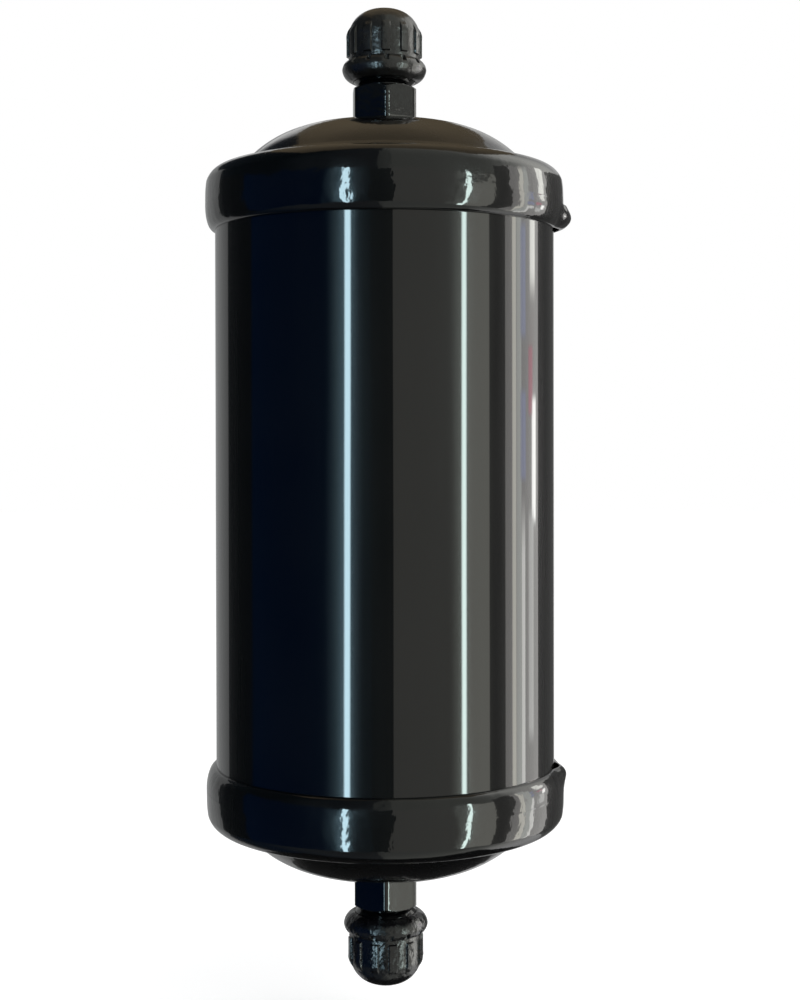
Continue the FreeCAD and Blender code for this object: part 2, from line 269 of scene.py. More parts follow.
def skin(name, rings, sharp_deg):
    # A closed mesh from rings of points round the axis, the last one joined to the first.
    count = len(rings[0])
    verts = [p for ring in rings for p in ring]
    faces = []
    for a in range(len(rings)):
        b = (a + 1) % len(rings)
        for i in range(count):
            j = (i + 1) % count
            faces.append((a * count + i, a * count + j, b * count + j, b * count + i))
    mesh = bpy.data.meshes.new(name)
    mesh.from_pydata(verts, [], faces)
    bm = bmesh.new()
    bm.from_mesh(mesh)
    bmesh.ops.remove_doubles(bm, verts=bm.verts, dist=1e-7)
    bmesh.ops.dissolve_degenerate(bm, edges=bm.edges, dist=1e-7)
    bmesh.ops.recalc_face_normals(bm, faces=bm.faces)
    bm.to_mesh(mesh)
    bm.free()
    mesh.shade_smooth()
    mesh.set_sharp_from_angle(angle=math.radians(sharp_deg))
    return new_object(name, mesh)


def around(count):
    return [TAU * i / count for i in range(count)]


def turned(name, profile, angles, reach, sharp_deg=35.0):
    # A turned form. For a profile point, an angle and the point's number, reach gives radius and height.
    rings = []
    for i, (r, z) in enumerate(profile):
        ring = []
        for t in angles:
            rr, zz = reach(r, z, t, i)
            ring.append((rr * math.cos(t), rr * math.sin(t), zz))
        rings.append(ring)
    return skin(name, rings, sharp_deg)


def turn_over(piece):
    # The outlet end is the inlet end turned half round the X axis.
    piece.data.transform(Euler((math.pi, 0, 0)).to_matrix().to_4x4())
    piece.data.update()
    return piece


def in_place(piece, body, node, material):
    piece.data.materials.append(material)
    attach(piece, body)
    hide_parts(node)


# Node helpers for the materials

def add_node(tree, kind, values, links):
    # A new node with its settings, the values of its inputs, and the outputs that feed the others.
    made = tree.nodes.new(kind)
    for key, value in values.items():
        if isinstance(key, str) and hasattr(made, key):
            setattr(made, key, value)
        else:
            made.inputs[key].default_value = value
    for key, source in links.items():
        tree.links.new(source, made.inputs[key])
    return made


def worked_out(tree, operation, *inputs):
    # The output of a Math node. Each input is a number or another node's output.
    values = {"operation": operation}
    links = {}
    for place, value in enumerate(inputs):
        if isinstance(value, float):
            values[place] = value
        else:
            links[place] = value
    return add_node(tree, "ShaderNodeMath", values, links).outputs[0]


class Paintbox:
    # A new material with its Principled shader and a few short ways to add nodes.
    def __init__(self, name, **inputs):
        self.material = bpy.data.materials.new(name)
        self.material.use_nodes = True
        self.tree = self.material.node_tree
        self.shader = self.tree.nodes["Principled BSDF"]
        for key, value in inputs.items():
            self.shader.inputs[key.replace("_", " ")].default_value = value
        self.place = self.tree.nodes.new("ShaderNodeTexCoord").outputs["Object"]
        self.height = None

    def node(self, kind, values, links):
        return add_node(self.tree, kind, values, links)

    def maths(self, operation, *inputs):
        return worked_out(self.tree, operation, *inputs)

    def noise(self, scale, detail=2.0, stretch=(1, 1, 1), roughness=0.5):
        where = self.node("ShaderNodeVectorMath", {"operation": "MULTIPLY", 1: stretch}, {0: self.place})
        made = self.node("ShaderNodeTexNoise", {"Scale": scale, "Detail": detail, "Roughness": roughness},
                         {"Vector": where.outputs[0]})
        return made.outputs["Fac"]

    def cells(self, scale):
        made = self.node("ShaderNodeTexVoronoi", {"Scale": scale}, {"Vector": self.place})
        return made.outputs["Distance"]

    def between(self, source, low, high, from_low=0.0, from_high=1.0):
        made = self.node("ShaderNodeMapRange",
                         {"From Min": from_low, "From Max": from_high, "To Min": low, "To Max": high},
                         {"Value": source})
        return made.outputs["Result"]

    def colours(self, source, *stops):
        ramp = self.node("ShaderNodeValToRGB", {}, {"Fac": source})
        while len(ramp.color_ramp.elements) < len(stops):
            ramp.color_ramp.elements.new(0.5)
        for element, (at, colour) in zip(ramp.color_ramp.elements, stops):
            element.position = at
            element.color = (*colour, 1.0)
        return ramp.outputs["Color"]

    def mixed(self, share, first, second):
        made = self.node("ShaderNodeMixRGB", {}, {"Fac": share, "Color1": first, "Color2": second})
        return made.outputs["Color"]

    def set(self, key, source):
        self.tree.links.new(source, self.shader.inputs[key])

    def bump(self, source, distance):
        # Each bump is laid over the ones before it, in the surface and in its clear coat.
        made = self.node("ShaderNodeBump", {"Distance": distance}, {"Height": source})
        if self.height:
            self.tree.links.new(self.height, made.inputs["Normal"])
        self.height = made.outputs["Normal"]
        for key in ("Normal", "Coat Normal"):
            self.set(key, self.height)


# Materials. Colours are given as darkest and lightest, and depths in metres.

def enamel(name, drawn, peel, crinkle):
    # Black stoving enamel: depths of the lengthwise drawing lines, the flow marks and the fine crinkles.
    box = Paintbox(name, Roughness=0.25, Specular_IOR_Level=0.1, Coat_Weight=1.0, Coat_Roughness=0.025,
                   Coat_IOR=1.5)
    low, high = (0.0007, 0.0009, 0.0012), (0.0017, 0.0019, 0.0021)
    box.set("Base Color", box.colours(box.noise(38.0, 4.0), (0.3, low), (0.75, high)))
    box.set("Roughness", box.between(box.noise(120.0, 3.0, (1, 1, 0.05)), 0.15, 0.35, 0.3, 0.7))
    if drawn:
        box.bump(box.noise(900.0, 2.0, (1, 1, 0.012)), drawn)
    box.bump(box.noise(150.0, 2.0), peel)
    if crinkle:
        box.bump(box.noise(420.0, 2.0), crinkle)
    return box.material


def plastic(name, low, high, gloss, uneven):
    box = Paintbox(name, Specular_IOR_Level=0.4, Coat_Weight=0.5, Coat_Roughness=gloss)
    box.set("Base Color", box.colours(box.noise(300.0, 4.0), (0.3, low), (0.7, high)))
    box.set("Roughness", box.between(box.noise(500.0, 3.0), gloss + 0.1, gloss + 0.3, 0.3, 0.7))
    box.bump(box.noise(360.0, 2.0), uneven)
    box.bump(box.noise(1300.0, 3.0), uneven * 0.3)
    return box.material


def granular(name, low, high, scale, depth):
    # Bonded grains: a cell pattern in the colour, the roughness and the surface.
    box = Paintbox(name, Roughness=0.85)
    grain = box.cells(scale)
    box.set("Base Color", box.colours(grain, (0.0, high), (0.7, low)))
    box.set("Roughness", box.between(grain, 0.75, 0.9))
    box.bump(grain, depth)
    return box.material


def fibrous(name, low, high, scale, depth):
    box = Paintbox(name, Roughness=0.9)
    hairs = box.noise(scale, 5.0, (1, 0.25, 1), 0.7)
    box.set("Base Color", box.colours(hairs, (0.3, low), (0.7, high)))
    box.bump(hairs, depth)
    return box.material


def metal(name, low, high, scale, rough):
    box = Paintbox(name, Metallic=1.0, Roughness=rough)
    streak = box.noise(scale, 3.0)
    box.set("Base Color", box.colours(streak, (0.3, low), (0.7, high)))
    box.set("Roughness", box.between(streak, rough - 0.08, rough + 0.1, 0.3, 0.7))
    box.bump(streak, 0.01 * MM)
    return box.material


def rubber():
    box = Paintbox("seal_rubber", Roughness=0.6)
    tone = box.noise(400.0, 4.0)
    box.set("Base Color", box.colours(tone, (0.3, (0.012, 0.012, 0.012)), (0.7, (0.024, 0.023, 0.022))))
    box.set("Roughness", box.between(tone, 0.5, 0.7))
    box.bump(tone, 0.02 * MM)
    return box.material


def wire_screen():
    # Woven wire: two sets of fine waves crossing at right angles.
    box = Paintbox("screen_wire", Metallic=1.0, Roughness=0.35)
    waves = []
    for axis in ("X", "Y"):
        made = box.node("ShaderNodeTexWave", {"bands_direction": axis, "Scale": 260.0},
                        {"Vector": box.place})
        waves.append(made.outputs["Fac"])
    weave = box.maths("MAXIMUM", *waves)
    box.set("Base Color", box.colours(weave, (0.45, (0.05, 0.05, 0.05)), (0.75, (0.55, 0.54, 0.52))))
    box.bump(weave, 0.08 * MM)
    return box.material


# The pieces of the vessel

def body_tube():
    inside = tube_r - tube_wall
    profile = joined(
        line((inside, tube_end_z), (inside, -tube_end_z), 2),
        line((tube_r, -tube_end_z), (tube_r, tube_end_z), 60),
    )

    def reach(r, z, t, i):
        if r < tube_r - 1e-6:
            return r, z
        x, y = math.cos(t) * tube_waves_round, math.sin(t) * tube_waves_round
        wave = noise.noise(Vector((x, y, z / tube_wave_length)))
        return r - tube_wave_depth * (1 + wave), z

    return turned("painted_tube", profile, around(240), reach)


def head_line(offset, dome, steps):
    # The head's surface moved inward by offset: side, shoulder, brim, root fillet, knuckle and crown.
    k_x, k_z, k_r, c_r, top_z = dome
    c_z = top_z - c_r
    c_r -= offset
    k_r -= offset
    f_r = root_r + offset
    slope = math.tan(math.radians(90 - shoulder_deg))
    side = arc(shoulder_x, shoulder_z, shoulder_r - offset, 0, shoulder_deg, steps)
    end_x, end_z = side[-1]
    # The fillet's centre lies f_r above the brim and k_r + f_r from the knuckle's centre.
    high = end_z + end_x * slope + f_r * math.hypot(1, slope) - k_z
    a = 1 + slope ** 2
    b = -2 * (k_x + high * slope)
    c = k_x ** 2 + high ** 2 - (k_r + f_r) ** 2
    f_x = (-b + math.sqrt(b * b - 4 * a * c)) / (2 * a)
    f_z = high - f_x * slope + k_z
    to_knuckle = math.degrees(math.atan2(k_z - f_z, k_x - f_x))
    fillet = arc(f_x, f_z, f_r, -shoulder_deg, to_knuckle, steps // 2)
    knuckle_top = math.degrees(math.atan2(k_z - c_z, k_x))
    knuckle = arc(k_x, k_z, k_r, to_knuckle + 180, knuckle_top, steps)
    hole = math.degrees(math.acos(spigot_hole_r / c_r))
    crown = arc(0, c_z, c_r, knuckle_top, hole, steps)
    return side, line(side[-1], fillet[0], 6), fillet, knuckle, crown


def lean(z):
    # How far the side has leaned in at a height, ahead of the shoulder's own curve.
    early = max(z - lean_z, 0.0) ** 2 / (2 * lean_r)
    up = min(max(z - shoulder_z, 0.0), shoulder_r)
    ahead = early - (shoulder_r - math.sqrt(shoulder_r ** 2 - up ** 2))
    return max((ahead + math.hypot(ahead, lean_soft) - lean_soft) / 2, 0.0)


def side_noise(t, z, across, along, seed):
    x, y = math.cos(t) * head_r, math.sin(t) * head_r
    return noise.noise(Vector((x / across, y / across, z / along + seed)))


def painted_head(name, seed):
    outer = head_line(0.0, outer_dome, 20)
    inner = head_line(head_wall, inner_dome, 8)
    bevel = line((skirt_in + bevel_land, skirt_edge_z), (head_r, bevel_top_z), 2)
    skirt = line((head_r, bevel_top_z), (head_r, shoulder_z), 12)
    outside = joined(bevel, skirt, *outer)
    bore = [(skirt_in, shoulder_z), (skirt_in, skirt_edge_z)]
    inside = joined(*[run[::-1] for run in inner[::-1]], bore)

    def reach(r, z, t, i):
        if i >= len(outside):
            return r, z
        dent = max(dent_bias + side_noise(t, z, dent_across, dent_along, seed), 0.0)
        ripple = 1 + side_noise(t, z, ripple_across, ripple_along, seed * 3)
        band = smooth(z, dents_start_z, dents_full_z) * (1 - smooth(z, dents_fade_z, dents_stop_z))
        dip = (dent_depth * dent + ripple_depth * ripple) * band
        if r > shoulder_x:
            dip += lean(z)
        return r - dip, z

    return turned(name, outside + inside, around(480), reach)


def girth_bead(name, half, deg, rise, seed):
    # The bead between skirt and tube, with a lump where it overlaps.
    steps = 20
    half_depth, half_width, half_height = half
    face = plump((head_r, bevel_top_z), (tube_r, bead_toe_z), steps)
    back = [(tube_r, skirt_edge_z), (skirt_in + bevel_land, skirt_edge_z)]
    lump_r, lump_z = head_r - lump_sunk + half_depth, bead_toe_z + rise

    def reach(r, z, t, i):
        if i > steps:
            return r, z
        share = i / steps
        x, y = math.cos(t) * bead_waves_round, math.sin(t) * bead_waves_round
        ripple = 1 + noise.noise(Vector((x, y, share * bead_waves_across + seed)))
        r -= bead_ripple * 4 * share * (1 - share) * ripple
        off = (math.radians(deg) - t + math.pi) % TAU - math.pi
        far = math.hypot(off * head_r / half_width, (z - lump_z) / half_height)
        peak = lump_r - lump_ripple * ripple
        return r + max(peak - r, 0.0) * (1 - smooth(far, 0.0, lump_fade)), z

    return turned(name, joined(face, back), around(720), reach)


# The pieces of the flare connection

def hex_reach(t, turn):
    # Distance from the axis to a hexagon's face, with its corners a little worn and rounded.
    phi = (t - math.radians(turn - 90)) % (TAU / 6) - TAU / 12
    flat = hex_af / 2 / math.cos(phi)
    corner = hex_corner_r - hex_corner_worn
    near = math.exp(-flat / hex_corner_soft) + math.exp(-corner / hex_corner_soft)
    return -hex_corner_soft * math.log(near)


def thread_wave(turns):
    # Depth of a V thread at a place along the helix, from 0 on the crest to 1 in the root.
    f = abs((turns % 1.0) - 0.5) * 2
    return smooth(1 - f, thread_crest, 1 - thread_crest)


def on_thread(r, turns, t, ends, run_in, run_out, depth):
    # A point of a threaded face, some turns up and at an angle, whose groove starts and stops gently.
    low, high = ends
    z = min(max(relief_top_z + thread_pitch * (turns + t / TAU), low), high)
    run = smooth(z, low + run_in[0], low + run_in[1]) * (1 - smooth(z, high - run_out, high))
    return r - depth * thread_wave(turns) * run, z


def flare_fitting(name, turn):
    rows = 12
    last = (int((thread_top_z - relief_top_z) / thread_pitch) + 2) * rows
    low = [(bore_r, spigot_low_z), (spigot_r, spigot_low_z), (spigot_r, hex_low_z - spigot_step)]
    chamfer_z = hex_top_z + hex_chamfer
    hexagon = line((hex_corner_r, hex_low_z), (hex_corner_r, hex_top_z), 10)
    hexagon += line((hex_corner_r, hex_top_z), (hex_chamfer_r, chamfer_z), 6)[1:]
    thread_foot_z = relief_top_z - (thread_r - relief_r)
    neck = [(relief_r, chamfer_z), (relief_r, thread_foot_z), (thread_r, relief_top_z)]
    helix = [(thread_r, relief_top_z + thread_pitch * k / rows) for k in range(-rows, last)]
    flare_r = nose_r - (nose_z - nose_base_z)
    nose = [
        (thread_r, thread_top_z), (nose_r, thread_top_z + thread_chamfer), (nose_r, nose_base_z),
        (flare_r, nose_z), (bore_r + nose_edge, nose_z), (bore_r, nose_z - nose_edge),
    ]
    hex_from = len(low)
    hex_to = hex_from + len(hexagon)
    helix_from = hex_to + len(neck)
    helix_to = helix_from + len(helix)

    def reach(r, z, t, i):
        if hex_from <= i < hex_to:
            foot = hex_foot * (1 - smooth(z, hex_low_z, hex_low_z + hex_foot_height))
            return min(r, hex_reach(t, turn)) - foot, z
        if helix_from <= i < helix_to:
            turns = (i - helix_from) / rows - 1
            ends = (relief_top_z, thread_top_z)
            return on_thread(r, turns, t, ends, thread_run_in, thread_run_out, thread_depth)
        return r, z

    return turned(name, low + hexagon + neck + helix + nose, around(240), reach)


def dome_z(r):
    return crown_z + math.sqrt(crown_r ** 2 - r ** 2)


def fitting_fillet(name, turn, seed):
    # The brazed fillet from the hexagon's foot out on to the dome.
    steps = 12
    profile = [(i / steps, 0) for i in range(steps + 1)] + [(1.0, -1), (0.0, -1)]

    def reach(share, below, t, i):
        wave = noise.noise(Vector((math.cos(t) * weld_waves_round, math.sin(t) * weld_waves_round, seed)))
        inner = hex_reach(t, turn) - weld_sunk
        outer = hex_corner_r + weld_leg - weld_uneven * (1 + wave)
        r = inner + (outer - inner) * share
        if below:
            return r, dome_z(r) - weld_sunk
        return r, dome_z(r) + weld_rise * (1 - share) ** 2 * (1 + weld_uneven_rise * (wave - 1))

    return turned(name, profile, around(180), reach)


# The screw cap

def rib_angles(phase):
    return [phase - 90 + 360 / rib_count * (i + 0.5) for i in range(rib_count)]


def notch_angles(phase):
    return [phase - 90 + 180 / rib_count + 360 / notch_count * i for i in range(notch_count)]


def cap_columns(phase):
    # Angles round the cap: even ones, and close ones at each side of each rib and notch.
    even = 120
    found = {round(360 * i / even, 3) for i in range(even)}
    edges = [(middle, rib_deg / 2, rib_side_deg) for middle in rib_angles(phase)]
    edges += [(middle, notch_deg / 2, notch_side_deg) for middle in notch_angles(phase)]
    for middle, half, side in edges:
        for share in (-1.0, -0.5, 0.0, 0.5, 1.0):
            found.add(round((middle - half - side * share) % 360, 3))
            found.add(round((middle + half + side * share) % 360, 3))
    return [math.radians(deg) for deg in sorted(found)]


def off_middle(t, first_deg, count):
    # Angle in degrees to the nearest of several even places round the axis.
    pitch = 360 / count
    return abs((math.degrees(t) - first_deg + pitch / 2) % pitch - pitch / 2)


def rib_reach(z):
    # Radius of a rib at a height: chamfered at its foot, and running out into the crown above.
    top = cap_r + rib_t
    if not rib_low_z - rib_chamfer < z < rib_stop_z:
        return 0.0
    if z < rib_low_z:
        return top - rib_chamfer - (rib_low_z - z) * rib_foot_slope
    if z < rib_high_z:
        return top
    f = (z - rib_high_z) / (rib_stop_z - rib_high_z)
    return top - 2 * rib_t * f + rib_chamfer * 4 * f * (1 - f)


def screw_cap(name, phase):
    mouth = (cap_bore_r + mouth_land, cap_mouth_z)
    widest = (cap_r + lip_out, cap_mouth_z + lip_low)
    lip_top = (cap_r, cap_mouth_z + lip_high)
    crown_low = (cap_r, cap_tip_z - crown_height)
    outside = joined(
        bow(mouth, widest, lip_low_bulge, 12),
        bow(widest, lip_top, lip_high_bulge, 12),
        line(lip_top, crown_low, 26),
        bow(crown_low, (crown_flat_r, cap_tip_z), crown_bulge, 24),
        line((crown_flat_r, cap_tip_z), (0, cap_tip_z), 3),
    )
    seat = bow((cap_bore_r, cap_bore_top_z), (seal_r, seal_top_z), seat_bulge, 6)
    inside = joined([(0, seal_top_z)], seat[::-1])
    rows = 8
    first = (int((cap_bore_top_z - cap_mouth_z) / thread_pitch) + 2) * rows
    helix = [(cap_bore_r, cap_mouth_z + thread_pitch * k / rows) for k in range(first, -rows, -1)]
    helix_from = len(outside) + len(inside)
    first_rib, first_notch = rib_angles(phase)[0], notch_angles(phase)[0]

    def reach(r, z, t, i):
        if i >= helix_from:
            turns = (first - (i - helix_from)) / rows
            ends = (cap_mouth_z, cap_bore_top_z)
            return on_thread(r, turns, t, ends, cap_thread_run_in, cap_thread_run_out, cap_thread_depth)
        if i >= len(outside):
            return r, z
        rib = within(off_middle(t, first_rib, rib_count), rib_deg / 2, rib_side_deg)
        out = r + max(rib_reach(z) - r, 0.0) * rib
        if notch_floor_z - notch_floor_soft < z < lip_top[1] + rib_chamfer:
            cut = within(off_middle(t, first_notch, notch_count), notch_deg / 2, notch_side_deg)
            cut *= smooth(z, notch_floor_z - notch_floor_soft, notch_floor_z + notch_floor_soft)
            out -= max(out - notch_floor_r, 0.0) * cut
        return out, z

    return turned(name, outside + inside + helix, cap_columns(phase), reach, sharp_deg=40.0)


black_tube = enamel("black_enamel_tube", 0.0012 * MM, 0.002 * MM, 0.0)
black_head = enamel("black_enamel_head", 0.0, 0.004 * MM, 0.042 * MM)
black_fitting = enamel("black_enamel_fitting", 0.0, 0.006 * MM, 0.05 * MM)
# The outlet cap's plastic is darker than the inlet cap's: painted shade for the weaker light from below
# it. The inlet cap's plastic is also paler with dust.
cap_black = {
    "inlet": plastic("cap_plastic_inlet", (0.004, 0.004, 0.004), (0.009, 0.009, 0.008), 0.14, 0.2 * MM),
    "outlet": plastic("cap_plastic_outlet_painted_shade", (0.001, 0.001, 0.002), (0.003, 0.003, 0.004), 0.07, 0.4 * MM),
}

in_place(body_tube(), "housing", "shell_tube", black_tube)
heads = {
    "inlet": painted_head("painted_inlet_head", 1.3),
    "outlet": turn_over(painted_head("painted_outlet_head", 7.7)),
}
beads = {
    "inlet": girth_bead("painted_inlet_bead", *inlet_lump, 2.0),
    "outlet": turn_over(girth_bead("painted_outlet_bead", *outlet_lump, 5.0)),
}
fittings = {
    "inlet": flare_fitting("inlet_flare_fitting", inlet_hex_turn),
    "outlet": turn_over(flare_fitting("outlet_flare_fitting", 180 - outlet_hex_turn)),
}
fillets = {
    "inlet": fitting_fillet("inlet_fitting_fillet", inlet_hex_turn, 3.0),
    "outlet": turn_over(fitting_fillet("outlet_fitting_fillet", 180 - outlet_hex_turn, 9.0)),
}
caps = {
    "inlet": screw_cap("inlet_screw_cap", inlet_cap_phase),
    "outlet": turn_over(screw_cap("outlet_screw_cap", 180 - outlet_cap_phase)),
}
for end in ("inlet", "outlet"):
    in_place(heads[end], "housing", end + "_end_cap", black_head)
    in_place(beads[end], "housing", end + "_girth_weld", black_head)
    in_place(fittings[end], "housing", end + "_fitting", black_fitting)
    in_place(fillets[end], "housing", end + "_fitting_weld", black_fitting)
    in_place(caps[end], end + "_cap", end + "_dust_cap", cap_black[end])

# Finishes of the inner pieces, which stay as they are in the frame
bright_steel = metal("pressed_steel", (0.42, 0.42, 0.41), (0.6, 0.6, 0.58), 220.0, 0.38)
seal_rubber = rubber()
finishes = {
    "perforated_plate": bright_steel,
    "spring_seat": bright_steel,
    "core_spring": metal("spring_steel", (0.3, 0.3, 0.31), (0.5, 0.5, 0.5), 300.0, 0.3),
    "inlet_felt_pad": fibrous("felt", (0.55, 0.52, 0.46), (0.78, 0.75, 0.68), 420.0, 0.15 * MM),
    "outlet_core_gasket": fibrous("gasket_felt", (0.5, 0.48, 0.44), (0.72, 0.7, 0.64), 500.0, 0.1 * MM),
    "outlet_filter_mat": fibrous("polyester", (0.7, 0.72, 0.72), (0.9, 0.91, 0.9), 600.0, 0.12 * MM),
    "outlet_screen": wire_screen(),
    "desiccant_core": granular("moulded_core", (0.46, 0.42, 0.35), (0.78, 0.74, 0.66), 620.0, 0.25 * MM),
    "inlet_cap_seal": seal_rubber,
    "outlet_cap_seal": seal_rubber,
}
for name, finish in finishes.items():
    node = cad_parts[name]
    if not node.material_slots:
        node.data.materials.append(finish)
    for slot in node.material_slots:
        slot.material = finish

# Camera: a little above the object's middle, framed as in the photograph
focal_px = 1660.0
frame_px = 1000.0
eye_height = 16.2 * MM
eye_distance = 429.0 * MM
pitch_deg = -0.45
yaw_deg = -0.52
roll_deg = 0.1
shift_y = -0.0525
lens_data = bpy.data.cameras.new("camera")
lens_data.sensor_width = 36.0
lens_data.lens = lens_data.sensor_width * focal_px / frame_px
lens_data.shift_y = shift_y
lens_data.clip_start = 0.01
camera = new_object("camera", lens_data)
camera.location = (0, -eye_distance, eye_height)
camera.rotation_euler = [math.radians(a) for a in (90 + pitch_deg, roll_deg, yaw_deg)]
scene.camera = camera

# Studio: a pale floor, a white surround, and cards and a tent that only reflections see
card_r = 1.6


def only_reflected(piece):
    piece.visible_camera = False
    piece.visible_diffuse = False
    piece.visible_shadow = False
    piece.visible_volume_scatter = False


def faded(tree, across, soft):
    # 1 over the middle of a card, fading to 0 at both ends over half the share named soft.
    from_end = worked_out(tree, "PINGPONG", across, 0.5)
    made = add_node(tree, "ShaderNodeMapRange", {"interpolation_type": "SMOOTHSTEP", "From Max": soft / 2},
                    {"Value": from_end})
    return made.outputs["Result"]


def glow(name, colour, strength, soft_sides=0.0, soft_ends=0.0):
    # An emission that fades away towards the card's sides and ends where it is soft.
    material = bpy.data.materials.new(name)
    material.use_nodes = True
    tree = material.node_tree
    tree.nodes.clear()
    light = add_node(tree, "ShaderNodeEmission", {"Color": (*colour, 1.0), "Strength": strength}, {})
    surface = light.outputs[0]
    if soft_sides:
        where = tree.nodes.new("ShaderNodeTexCoord").outputs["UV"]
        parts = add_node(tree, "ShaderNodeSeparateXYZ", {}, {0: where}).outputs
        share = worked_out(tree, "MULTIPLY", faded(tree, parts["X"], soft_sides),
                           faded(tree, parts["Y"], soft_ends))
        clear = tree.nodes.new("ShaderNodeBsdfTransparent").outputs[0]
        surface = add_node(tree, "ShaderNodeMixShader", {}, {0: share, 1: clear, 2: surface}).outputs[0]
    add_node(tree, "ShaderNodeOutputMaterial", {}, {"Surface": surface})
    return material


def card(name, side, low, high, radius, material, slant=0.0):
    # A curved upright card between two sides, in degrees to the right of the camera, from low to high.
    steps = 24
    verts, faces, spots = [], [], []
    for i in range(steps + 1):
        deg = side[0] + (side[1] - side[0]) * i / steps
        for z, turn in ((low, -slant / 2), (high, slant / 2)):
            t = math.radians(deg + turn)
            verts.append((radius * math.sin(t), -radius * math.cos(t), z))
    for i in range(steps):
        faces.append((2 * i, 2 * i + 2, 2 * i + 3, 2 * i + 1))
        spots += [(i / steps, 0), ((i + 1) / steps, 0), ((i + 1) / steps, 1), (i / steps, 1)]
    mesh = bpy.data.meshes.new(name)
    mesh.from_pydata(verts, [], faces)
    layer = mesh.uv_layers.new(name="UVMap")
    for loop, spot in zip(layer.data, spots):
        loop.uv = spot
    mesh.materials.append(material)
    only_reflected(new_object(name, mesh))


wall_low_z = -1.0
WALLS = [
    # name, side in degrees, colour, level, upper edge
    ("wall_left_back", (-174, -128.6), (0.98, 1.0, 1.0), 0.34, 0.7),
    ("wall_left", (-128.6, -98), (0.75, 0.9, 1.0), 0.025, 0.42),
    ("wall_left_front", (-98, -33), (0.02, 0.28, 1.0), 0.1, 0.42),
    ("wall_front_left", (-33, -9), (0.6, 0.85, 1.0), 0.13, 0.42),
    ("wall_front", (-9, 5.2), (0.85, 1.0, 1.0), 0.08, 0.42),
    ("wall_right_front", (5.2, 72), (1.0, 1.0, 0.92), 0.58, 0.42),
    ("wall_right", (72, 85.8), (1.0, 1.0, 0.94), 0.28, 0.6),
    ("wall_window_frame", (85.8, 123.2), (1.0, 0.98, 0.95), 1.9, 0.6),
    ("wall_right_back", (123.2, 162), (1.0, 1.0, 0.98), 0.1, 0.5),
    ("wall_right_far", (162, 174), (1.0, 1.0, 1.0), 0.5, 0.7),
    ("wall_back", (174, 186), (1.0, 1.0, 1.0), 0.36, 0.49),
]
for name, side, colour, level, high in WALLS:
    card(name, side, wall_low_z, high, card_r, glow(name, colour, level))

strip_low_z = -0.95
strip_soft_ends = 0.04
STRIPS = [
    # name, side in degrees, slant, colour, level, softness, how far inside the wall, upper edge
    ("left_halo", (-40.5, -13.5), 2.7, (0.45, 0.8, 1.0), 0.75, 1.0, 0.1, 0.4),
    ("left_glow", (-32.5, -18.5), 2.7, (0.45, 0.8, 1.0), 1.7, 1.0, 0.12, 0.4),
    ("left_strip", (-27.4, -22.0), 2.7, (0.62, 0.88, 1.0), 20.0, 0.6, 0.2, 0.39),
    ("right_halo", (41.0, 64.0), 0.9, (0.95, 1.0, 0.9), 1.4, 1.0, 0.1, 0.4),
    ("right_glow", (55.0, 72.5), 0.0, (1.0, 1.0, 0.9), 1.75, 0.12, 0.12, 0.36),
    ("right_strip", (49.9, 54.9), 0.9, (0.82, 1.0, 0.95), 19.0, 0.7, 0.2, 0.39),
]
for name, side, slant, colour, level, soft, inside, high in STRIPS:
    light = glow(name, colour, level, soft, strip_soft_ends)
    card(name, side, strip_low_z, high, card_r - inside, light, slant)

pane_inside = 0.1
pane_soft_sides, pane_soft_ends = 0.4, 0.2
PANES = [
    # name, side in degrees, colour, level, lower and upper edge
    ("pane_a", (91.8, 96.8), (1.0, 0.98, 0.88), 5.6, strip_low_z, 0.6),
    ("pane_b", (96.0, 102.5), (0.97, 1.0, 0.95), 3.6, strip_low_z, 0.6),
    ("pane_c", (101.5, 106.5), (1.0, 1.0, 0.96), 6.0, strip_low_z, -0.04),
    ("pane_blue_high", (100.0, 107.5), (0.7, 0.75, 1.0), 3.0, 0.12, 0.26),
    ("pane_blue_low", (100.0, 107.5), (0.68, 0.73, 1.0), 3.0, -0.04, 0.07),
    ("pane_red", (109.5, 116.0), (1.0, 0.48, 0.56), 2.8, 0.035, 0.12),
    ("pane_d_high", (111.0, 119.5), (1.0, 1.0, 0.94), 6.0, 0.16, 0.62),
    ("pane_d_middle", (113.8, 120.3), (1.0, 1.0, 0.97), 8.0, -0.09, 0.065),
    ("pane_d_low", (109.5, 117.5), (1.0, 1.0, 0.97), 3.6, -0.34, -0.06),
]
for name, side, colour, level, low, high in PANES:
    light = glow(name, colour, level, pane_soft_sides, pane_soft_ends)
    card(name, side, low, high, card_r - pane_inside, light)

# What the gloss sees above and below the cards, by degrees to the right of the camera
ABOVE = [
    (-180, (0.72, 0.72, 0.7)), (-163, (0.7, 0.7, 0.7)), (-156, (0.02, 0.024, 0.03)),
    (-75, (0.008, 0.018, 0.024)), (-50, (0.05, 0.065, 0.078)), (-5.6, (0.08, 0.09, 0.1)),
    (-4.6, (0.28, 0.3, 0.28)), (2.5, (0.38, 0.4, 0.37)), (4, (0.52, 0.54, 0.49)), (63, (0.6, 0.62, 0.56)),
    (80, (0.9, 0.92, 0.86)), (100, (2.0, 2.0, 1.9)), (122, (1.8, 1.8, 1.7)), (150, (0.5, 0.5, 0.5)),
    (180, (0.66, 0.66, 0.64)),
]
BELOW = [
    (-180, (0.42, 0.42, 0.42)), (-142, (0.4, 0.4, 0.4)), (-134, (0.02, 0.025, 0.03)),
    (-100, (0.02, 0.04, 0.08)), (-60, (0.12, 0.14, 0.16)), (-5.6, (0.14, 0.15, 0.16)),
    (-4.6, (0.4, 0.42, 0.4)), (2.5, (0.5, 0.52, 0.49)), (63, (0.6, 0.62, 0.57)), (80, (0.85, 0.87, 0.82)),
    (100, (1.4, 1.4, 1.35)), (122, (1.2, 1.2, 1.2)), (150, (0.4, 0.4, 0.4)), (180, (0.42, 0.42, 0.42)),
]
